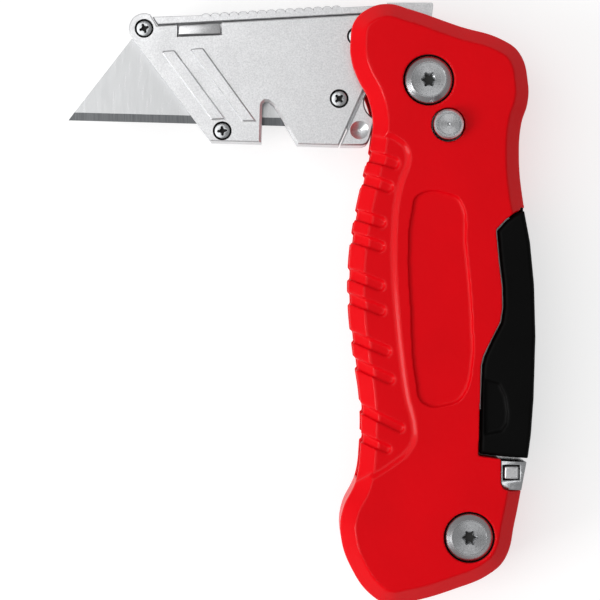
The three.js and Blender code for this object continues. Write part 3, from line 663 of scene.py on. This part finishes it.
blade_pocket = [on_blade(-30, -0.3), on_blade(BLADE_LENGTH + 0.6, -0.3),
                on_blade(BLADE_LENGTH - BLADE_ENDS + 0.1, BLADE_HEIGHT + 0.3),
                on_blade(-30, BLADE_HEIGHT + 0.3)]
for side, name in ((1, "front_cheek"), (-1, "back_cheek")):
    cheek = raised(CHEEK_PLAN, *outwards(side, 0, CHEEK_HALF), edge=0.28, smooth=False)
    combine(cheek, raised(blade_pocket, *outwards(side, -1, POCKET_HALF), smooth=False))
    combine(cheek, raised(TONGUE_ROOM, *outwards(side, -1.1, 1.65), smooth=False))
    combine(cheek, raised(BAR_TONGUE_ROOM, *outwards(side, -1.2, 0.5), smooth=False))
    combine(cheek, raised(NOTCH_PLAN, *outwards(side, CHEEK_HALF - NOTCH_CHAMFER, 8),
                          edge=NOTCH_CHAMFER, shrink=-NOTCH_CHAMFER, smooth=False))
    for centre in SCREWS:
        combine(cheek, drum(SCREW_RADIUS + SCREW_GAP, *outwards(side, SCREW_SEAT, 6), centre,
                            segments=48))
        combine(cheek, drum(SCREW_SHAFT_ROOM, 4, 17, centre, segments=32))
    for rib in RIBS:
        combine(cheek, raised(rib, *outwards(side, RIB_FOOT, RIB_TOP), edge=0.3, smooth=False),
                "UNION")
    if side > 0:
        combine(cheek, raised(RELEASE_ROOM, 11.3, 16, smooth=False))
    crisp(cheek)
    settle(cheek, "satin_" + name, satin_zinc, "head", "cast_metal", name)
    # Painted shade on the walls of the screw seats.
    for centre in SCREWS:
        darken(cheek, centre, SCREW_RADIUS + SCREW_GAP + 0.02, *outwards(side, 0, 3.9))


# --- Blade holder: tang -----------------------------------------------------------------
# A cast hub that turns on the pivot, with the lock's notches in its rim, a coned dimple, and a
# tongue clamped between the cheeks.
HUB_RADIUS = 7.0
LOCK_NOTCH = (-10.02, -4.27)
TANG_PLAN = [
    (-19.3, -13.93), (-14.4, -13.93), (-13.5, -13.6), (-12.9, -12.8), (-12.6, -11.9), (-11.6, -7.9),
    *arc(LOCK_NOTCH, 4.0, 245, 120, 8), (-7.9, -0.4),
    *arc(PIVOT, HUB_RADIUS, 184, 408, 28), (6.6, 6.3), (8.2, 7.7), (10.0, 8.2), (9.2, 10.4),
    (0.9, 13.0), (1.4, 17.0), *arc((1.0, 17.5), 0.4, 0, 90, 3), (-8.9, 17.9), (-8.9, 8.9),
    (-14.3, -2.9),
]
TONGUE_PLAN = [(-14.6, -12.6), (-17.2, -12.6), (-18.0, -8.0), (-23.2, -1.6), (-29.6, 8.4),
               (-29.6, 12.4), (-8.6, 13.0), (-8.6, 7.0), (-14.6, -3.5)]
TANG_HALF, TONGUE_HALF = 4.3, 1.6
DIMPLE = (-15.06, -10.53)
tang = raised(TANG_PLAN, MIDDLE - TANG_HALF, MIDDLE + TANG_HALF, edge=0.3, smooth=False)
combine(tang, raised(TONGUE_PLAN, MIDDLE - TONGUE_HALF, MIDDLE + TONGUE_HALF, smooth=False), "UNION")
combine(tang, drum(BARREL_RADIUS + 0.05, 0, THICKNESS, segments=72))
combine(tang, turned([(0.35, 13.5), (2.18, 14.9)], DIMPLE, segments=48))
for centre in SCREWS:
    combine(tang, drum(SCREW_SHAFT_ROOM, 4, 17, centre, segments=32))
crisp(tang)
settle(tang, "satin_tang", satin_zinc, "head", "cast_metal", "tang_plate")


# --- Blade holder: spine bar ------------------------------------------------------------
# A cast strip along the cheeks' top with fifteen small thumb ridges, held by a tongue below it.
BAR_FRONT, BAR_REAR = -61.2, -9.6
BAR_TOP_FRONT = 14.83
BAR_RISE = 0.0602
BAR_TONGUE = [(-58.5, 11.35), (-14.5, 13.75), (-14.5, 16.0), (-58.5, 13.6)]
RIDGES = 15
RIDGE_START = -19.1
RIDGE_PITCH = 2.08
# One ridge's points: how far along the bar, and how far under its top.
RIDGE_SHAPE = [(0, 0.45), (0.35, 0.12), (0.8, 0), (1.25, 0), (1.7, 0.12), (2.05, 0.45)]


def bar_top(x):
    """Height of the bar's upper edge at x."""
    return BAR_TOP_FRONT + (x - BAR_FRONT) * BAR_RISE


ridges = []
for i in range(RIDGES):
    start = RIDGE_START - i * RIDGE_PITCH
    ridges += [(start - along, bar_top(start) - drop) for along, drop in RIDGE_SHAPE]
BAR_PLAN = [(-60.0, 13.05), (BAR_REAR, 15.8), (BAR_REAR, bar_top(BAR_REAR) - 0.5), *ridges,
            (-52, bar_top(-52) - 0.25), (BAR_FRONT, bar_top(BAR_FRONT))]
bar = raised(BAR_PLAN, 7.0, 14.0, edge=0.2, smooth=False)
combine(bar, raised(BAR_TONGUE, 9.2, 10.8, smooth=False), "UNION")
crisp(bar)
settle(bar, "ridged_spine_bar", satin_zinc, "head", "cast_metal", "spine_bar")


# --- Blade holder: screws ---------------------------------------------------------------
# Four cross-recessed steel screws, zinc plated, sunk in the cheeks with a thin dark ring about, painted
# shade on the seats' walls and in the cross recesses.
# Bright zinc plate: smooth and mirror-like, dulled by handling.
screw_plate, shader = new_material("bright_zinc_plate", "BFC1C3", 1.0, 0.25)
place = add_node(screw_plate, "ShaderNodeTexCoord").outputs["Object"]
smear = add_node(screw_plate, "ShaderNodeTexNoise",
                 {"Vector": place, "Scale": 1 / (0.6 * MM), "Detail": 4.0})
sheen = add_node(screw_plate, "ShaderNodeMapRange",
                 {"Value": smear.outputs["Fac"], "From Min": 0.3, "From Max": 0.7,
                  "To Min": 0.16, "To Max": 0.38})
screw_plate.node_tree.links.new(sheen.outputs["Result"], shader.inputs["Roughness"])
grain = add_node(screw_plate, "ShaderNodeBump",
                 {"Height": smear.outputs["Fac"], "Distance": 0.02 * MM, "Strength": 0.5})
screw_plate.node_tree.links.new(grain.outputs["Normal"], shader.inputs["Normal"])

SCREW_TOP = 14.35
SCREW_HEAD_LOW = 13.3
SCREW_PROFILE = [
    (1.0, 7.4), (1.0, SCREW_HEAD_LOW), (SCREW_RADIUS, SCREW_HEAD_LOW), (SCREW_RADIUS, SCREW_TOP - 0.3),
    (SCREW_RADIUS - 0.1, SCREW_TOP - 0.12), (SCREW_RADIUS - 0.4, SCREW_TOP),
]
SCREW_TURNS = [0.35, 0.1, 0.75, 1.2]
CROSS_ARM = [*arc((0.82, 0), 0.3, -90, 90, 6), *arc((-0.82, 0), 0.3, 90, 270, 6)]
screw = turned(SCREW_PROFILE, segments=48)
for turn in (0, 90):
    arm = raised(CROSS_ARM, SCREW_TOP - 0.9, SCREW_TOP + 0.4, smooth=False)
    arm.rotation_euler.z = math.radians(turn)
    tidy(arm)
    combine(screw, arm)
combine(screw, turned([(0.3, SCREW_TOP - 0.85), (0.66, SCREW_TOP + 0.05)], segments=24))
crisp(screw)
for i, (centre, turn) in enumerate(zip(SCREWS, SCREW_TURNS)):
    one = copy_of(screw, "screw")
    one.rotation_euler.z = turn
    one.location = (centre[0] * MM, centre[1] * MM, 0)
    tidy(one)
    crisp(one)
    settle(one, f"cross_screw_{i + 1}", screw_plate, "head", "steel", f"head_screw_{i + 1}")
    # Painted shade in the cross recess.
    darken(one, centre, SCREW_RADIUS - 0.4, SCREW_HEAD_LOW, SCREW_TOP - 0.1)
bpy.data.objects.remove(screw)


# --- Blade release button ---------------------------------------------------------------
# A small cast button in the front cheek's window: its tip half is flat and its rear half falls
# away in a smooth ramp for the thumb.
RELEASE_PLAN = [(-55.3, 10.7), (-46.0, 11.0), (-46.15, 13.2), (-55.2, 12.7)]
RAMP_CENTRE = (-47.6 * MM, 12 * MM, 15.35 * MM)
RAMP_ANGLE = math.radians(5)
release = raised(RELEASE_PLAN, 12.8, 15.0, edge=0.22, rings=1, smooth=False)
bpy.ops.object.select_all(action="DESELECT")
bpy.ops.mesh.primitive_cube_add(size=1, location=RAMP_CENTRE, rotation=(0, RAMP_ANGLE, 0),
                                scale=(6 * MM, 6 * MM, 1.2 * MM))
ramp = bpy.context.object
tidy(ramp)
combine(release, ramp)
crisp(release, edge=0.08)
settle(release, "release_thumb_button", satin_zinc, "release", "steel", "release_button")


# --- Blade ------------------------------------------------------------------------------
# A standard trapezoid blade, 61 by 19 by 0.6 mm, stamped from carbon steel strip. The edge is
# ground from both faces, which leaves a band with fine lines square to the edge; the band's darker colour
# is painted shade.
# Ground strip: a pale grey sheen with fine lines, drawn 0.4 mm wide and 6 mm long so that they show.
GRIND_WIDTH = 1.8
EDGE_HALF = 0.03
BACK_NOTCH_RADIUS = 1.6
BACK_NOTCH_SPREAD = 5
STONE = (200 * MM, 8 * MM, 4 * MM)
blade_steel, shader = new_material("ground_blade_steel", "B9BABB", 1.0, 0.34)
place = add_node(blade_steel, "ShaderNodeTexCoord").outputs["Object"]
strokes = add_node(blade_steel, "ShaderNodeMapping",
                   {"Vector": place, "Rotation": (0, 0, -BLADE_TILT), "Scale": (8.0, 0.5, 1.0)})
lines = add_node(blade_steel, "ShaderNodeTexNoise",
                 {"Vector": strokes.outputs["Vector"], "Scale": 1 / (3.0 * MM), "Detail": 3.0})
across = add_node(blade_steel, "ShaderNodeMapRange",
                  {"Value": lines.outputs["Fac"], "From Min": 0.3, "From Max": 0.7,
                   "To Min": 0.26, "To Max": 0.42})
blade_steel.node_tree.links.new(across.outputs["Result"], shader.inputs["Roughness"])
tint = add_node(blade_steel, "ShaderNodeMix",
                {"Factor": lines.outputs["Fac"], "A": linear("B2B3B4"), "B": linear("C6C7C8")},
                data_type="RGBA")
blade_steel.node_tree.links.new(tint.outputs["Result"], shader.inputs["Base Color"])
ground = add_node(blade_steel, "ShaderNodeBump",
                  {"Height": lines.outputs["Fac"], "Distance": 0.004 * MM, "Strength": 0.3})
blade_steel.node_tree.links.new(ground.outputs["Normal"], shader.inputs["Normal"])

# The ground band is the same steel with a coarser grind, its colour darkened as painted shade for the
# dimmer reflection its sloping faces catch.
edge_steel, shader = new_material("ground_edge_painted_shade", "77797B", 1.0, 0.38)
place = add_node(edge_steel, "ShaderNodeTexCoord").outputs["Object"]
strokes = add_node(edge_steel, "ShaderNodeMapping",
                   {"Vector": place, "Rotation": (0, 0, -BLADE_TILT), "Scale": (10.0, 0.4, 1.0)})
lines = add_node(edge_steel, "ShaderNodeTexNoise",
                 {"Vector": strokes.outputs["Vector"], "Scale": 1 / (2.4 * MM), "Detail": 3.0})
tint = add_node(edge_steel, "ShaderNodeMix",
                {"Factor": lines.outputs["Fac"], "A": linear("4C4E50"), "B": linear("808284")},
                data_type="RGBA")
edge_steel.node_tree.links.new(tint.outputs["Result"], shader.inputs["Base Color"])
ground = add_node(edge_steel, "ShaderNodeBump",
                  {"Height": lines.outputs["Fac"], "Distance": 0.015 * MM, "Strength": 0.5})
edge_steel.node_tree.links.new(ground.outputs["Normal"], shader.inputs["Normal"])


def back_notch(along):
    """A half-round notch in the blade's back."""
    return arc(on_blade(along, BLADE_HEIGHT), BACK_NOTCH_RADIUS,
               360 + BLADE_TILT_DEGREES, 180 + BLADE_TILT_DEGREES, 10)


def grind(blade, edge_start, edge_degrees, half_thickness, middle):
    """Grinds both faces of a blade towards its edge, which starts at a point and runs at an angle."""
    slope = math.atan2(half_thickness - EDGE_HALF, GRIND_WIDTH)
    for side in (1, -1):
        bpy.ops.object.select_all(action="DESELECT")
        bpy.ops.mesh.primitive_cube_add(size=1, location=(0, 0, side * STONE[2] / 2), scale=STONE)
        stone = bpy.context.object
        tidy(stone)
        stone.rotation_euler.x = side * slope
        stone.location.z = side * EDGE_HALF * MM
        tidy(stone)
        stone.rotation_euler.z = math.radians(edge_degrees)
        stone.location = (edge_start[0] * MM, edge_start[1] * MM, middle * MM)
        tidy(stone)
        combine(blade, stone)


def show_ground_band(blade):
    """Gives the coarse ground finish, its darker colour painted shade, to a blade's sloping faces."""
    blade.data.materials.append(edge_steel)
    for face in blade.data.polygons:
        if 0.9 < abs(face.normal.z) < 0.9999:
            face.material_index = 1
            face.use_smooth = False


blade = raised([on_blade(0, 0), on_blade(BLADE_LENGTH, 0),
                on_blade(BLADE_LENGTH - BLADE_ENDS, BLADE_HEIGHT),
                *back_notch(BLADE_LENGTH / 2 + BACK_NOTCH_SPREAD),
                *back_notch(BLADE_LENGTH / 2 - BACK_NOTCH_SPREAD),
                on_blade(BLADE_ENDS, BLADE_HEIGHT)],
               MIDDLE - BLADE_THICKNESS / 2, MIDDLE + BLADE_THICKNESS / 2, smooth=False)
grind(blade, BLADE_TIP, BLADE_TILT_DEGREES, BLADE_THICKNESS / 2, MIDDLE)
crisp(blade)
settle(blade, "trapezoid_blade", blade_steel, "blade", "blade_steel", "blade")
show_ground_band(blade)


# --- Magazine ---------------------------------------------------------------------------
# A moulded black nylon block that fills the window in the spine, with a thumb scoop in its face
# and a thin tray for spare blades. It swings on a steel pin at its upper end.
# Glass-filled nylon: near black and half matt, with the mould's fine spark-eroded texture,
# drawn at 0.4 mm so that it shows.
black_nylon, shader = new_material("moulded_black_nylon", "060606", 0.0, 0.42, IOR=1.53,
                                   Specular_IOR_Level=0.05)
place = add_node(black_nylon, "ShaderNodeTexCoord").outputs["Object"]
spark = add_node(black_nylon, "ShaderNodeTexNoise",
                 {"Vector": place, "Scale": 1 / (0.4 * MM), "Detail": 3.0})
flow = add_node(black_nylon, "ShaderNodeTexNoise", {"Vector": place, "Scale": 1 / (9 * MM), "Detail": 2.0})
gloss = add_node(black_nylon, "ShaderNodeMapRange",
                 {"Value": flow.outputs["Fac"], "From Min": 0.3, "From Max": 0.7,
                  "To Min": 0.36, "To Max": 0.52})
black_nylon.node_tree.links.new(gloss.outputs["Result"], shader.inputs["Roughness"])
textured = add_node(black_nylon, "ShaderNodeBump",
                    {"Height": spark.outputs["Fac"], "Distance": 0.03 * MM, "Strength": 0.5})
black_nylon.node_tree.links.new(textured.outputs["Normal"], shader.inputs["Normal"])

BLOCK_PLAN = [
    (21.1, -28.7), (18.9, -29.6), (17.2, -30.9), (15.2, -33.1), (15.8, -39.6), (16.5, -45.5),
    (16.6, -50.0), (16.1, -53.3), (14.1, -57.1), (12.4, -60.8), (11.9, -62.8), (11.3, -82.2),
    (15.9, -82.8), (21.9, -83.2), (22.6, -78.0), (23.2, -69.9), (23.6, -56.4), (23.3, -45.0),
    (22.4, -35.6),
]
SCOOP_PLAN = [(12.2, -65.6), (15.7, -66.6), (17.1, -69.6), (17.6, -73.0), (17.4, -75.6),
              (16.2, -77.4), (12.2, -78.2)]
WEB_PLAN = [(17.9, -27.3), (15.3, -32.2), (15.6, -34), (21, -34), (21.2, -28.4)]
TRAY_PLAN = [(1.3, -17.8), (19.2, -25.6), (19.7, -27.2), (19.8, -30.2), (22.0, -34.0),
             (22.0, -66.4), (8.0, -79.9), (1.3, -79.9)]
TRAY_LOW, TRAY_FLOOR, TRAY_TOP = 16.2, 16.8, 18.3
BLOCK_LOW, BLOCK_HIGH = 0.8, THICKNESS - 0.8
KNUCKLE_RADIUS = 1.7
KNUCKLE_LOW, KNUCKLE_HIGH = 3.7, 17.0
block = raised(BLOCK_PLAN, BLOCK_LOW, BLOCK_HIGH, edge=0.55, smooth=False)
combine(block, raised(SCOOP_PLAN, BLOCK_HIGH - 0.6, BLOCK_HIGH + 2, edge=0.5, smooth=False))
combine(block, raised(WEB_PLAN, KNUCKLE_LOW, KNUCKLE_HIGH, smooth=False), "UNION")
combine(block, drum(KNUCKLE_RADIUS, KNUCKLE_LOW, KNUCKLE_HIGH, HINGE, segments=48), "UNION")
combine(block, drum(HINGE_PIN_RADIUS, 0, THICKNESS, HINGE, segments=32))
soften(block, voxel=0.22, rounds=3, keep=0.5)
settle(block, "magazine_block", black_nylon, "magazine", "black_plastic", "magazine")

SPARE_EDGE = (2.0, -18.46)
x, y = SPARE_EDGE
spare_pocket = [
    (x - 0.3, y + 0.3), (x - 0.3, y - BLADE_LENGTH - 0.1), (x + 0.4, y - BLADE_LENGTH - 0.3),
    (x + BLADE_HEIGHT + 0.3, y - BLADE_LENGTH + BLADE_ENDS - 0.3),
    (x + BLADE_HEIGHT + 0.3, y - BLADE_ENDS + 0.4),
]
tray = raised(TRAY_PLAN, TRAY_LOW, TRAY_TOP, edge=0.15, smooth=False)
combine(tray, raised(spare_pocket, TRAY_FLOOR, TRAY_TOP + 0.2, smooth=False))
combine(tray, drum(1.0, 0, THICKNESS, HINGE, segments=32))
crisp(tray)
settle(tray, "magazine_tray", black_nylon, "magazine", "black_plastic")
nodes["magazine_pin"].material_slots[0].material = screw_plate

# Three spare blades lie in the tray, each 0.45 mm thick strip steel with a ground edge.
SPARE_THICKNESS = 0.45
SPARE_GAP = 0.02
SPARE_LOW = TRAY_FLOOR + SPARE_GAP
spare_plan = [(x, y), (x, y - BLADE_LENGTH), (x + BLADE_HEIGHT, y - BLADE_LENGTH + BLADE_ENDS),
              (x + BLADE_HEIGHT, y - BLADE_ENDS)]
spare = raised(spare_plan, SPARE_LOW, SPARE_LOW + SPARE_THICKNESS, smooth=False)
grind(spare, SPARE_EDGE, -90, SPARE_THICKNESS / 2, SPARE_LOW + SPARE_THICKNESS / 2)
for i in range(3):
    one = copy_of(spare, "spare")
    one.location.z = i * (SPARE_THICKNESS + SPARE_GAP) * MM
    tidy(one)
    crisp(one)
    settle(one, f"spare_blade_sheet_{i + 1}", blade_steel, "magazine", "blade_steel",
           f"spare_blade_{i + 1}")
    show_ground_band(one)
bpy.data.objects.remove(spare)


# --- Magazine latch ---------------------------------------------------------------------
# A bright steel plate let into the spine below the magazine, with a small square button in a
# dark window that frees the magazine when it is pressed.
LATCH_PLAN = [(16.07, -84.6), (16.07, -88.6), (16.5, -89.6), (17.5, -90.05), (30, -90.6),
              (30, -84.3), (16.07, -83.8)]
LATCH_WINDOW = [(16.31, -84.59), (16.31, -88.06), (20.11, -88.06), (20.11, -84.59)]
LATCH_BUTTON = [(16.66, -84.94), (16.66, -87.71), (19.76, -87.71), (19.76, -84.94)]
BUTTON_DISH = [(17.1, -85.38), (17.1, -87.27), (19.32, -87.27), (19.32, -85.38)]
latch = raised(LATCH_PLAN, 0.9, 20.1, smooth=False)
combine(latch, raised(HANDLE_OUTLINE, -1, THICKNESS + 1, shrink=0.25), "INTERSECT")
combine(latch, raised(LATCH_WINDOW, 13.0, 22, smooth=False))
crisp(latch, edge=0.25)
settle(latch, "latch_spine_plate", screw_plate, "handle", "steel", "latch_plate")
button = raised(LATCH_BUTTON, 16.0, 20.6, smooth=False)
crisp(button, edge=0.35, rings=3)
combine(button, raised(BUTTON_DISH, 20.5, 21, smooth=False))
crisp(button)
settle(button, "latch_square_button", satin_zinc, "latch", "steel", "latch_button")


# --- Springs ----------------------------------------------------------------------------
# Music-wire coils under the lock, the release and the latch: drawn wire, dark and smooth.
spring_wire, shader = new_material("drawn_spring_wire", "7E8083", 1.0, 0.32)
place = add_node(spring_wire, "ShaderNodeTexCoord").outputs["Object"]
drawn = add_node(spring_wire, "ShaderNodeTexNoise",
                 {"Vector": place, "Scale": 1 / (0.5 * MM), "Detail": 2.0})
sheen = add_node(spring_wire, "ShaderNodeMapRange",
                 {"Value": drawn.outputs["Fac"], "To Min": 0.22, "To Max": 0.44})
spring_wire.node_tree.links.new(sheen.outputs["Result"], shader.inputs["Roughness"])
for name in ("lock_spring", "release_spring", "latch_spring"):
    nodes[name].material_slots[0].material = spring_wire
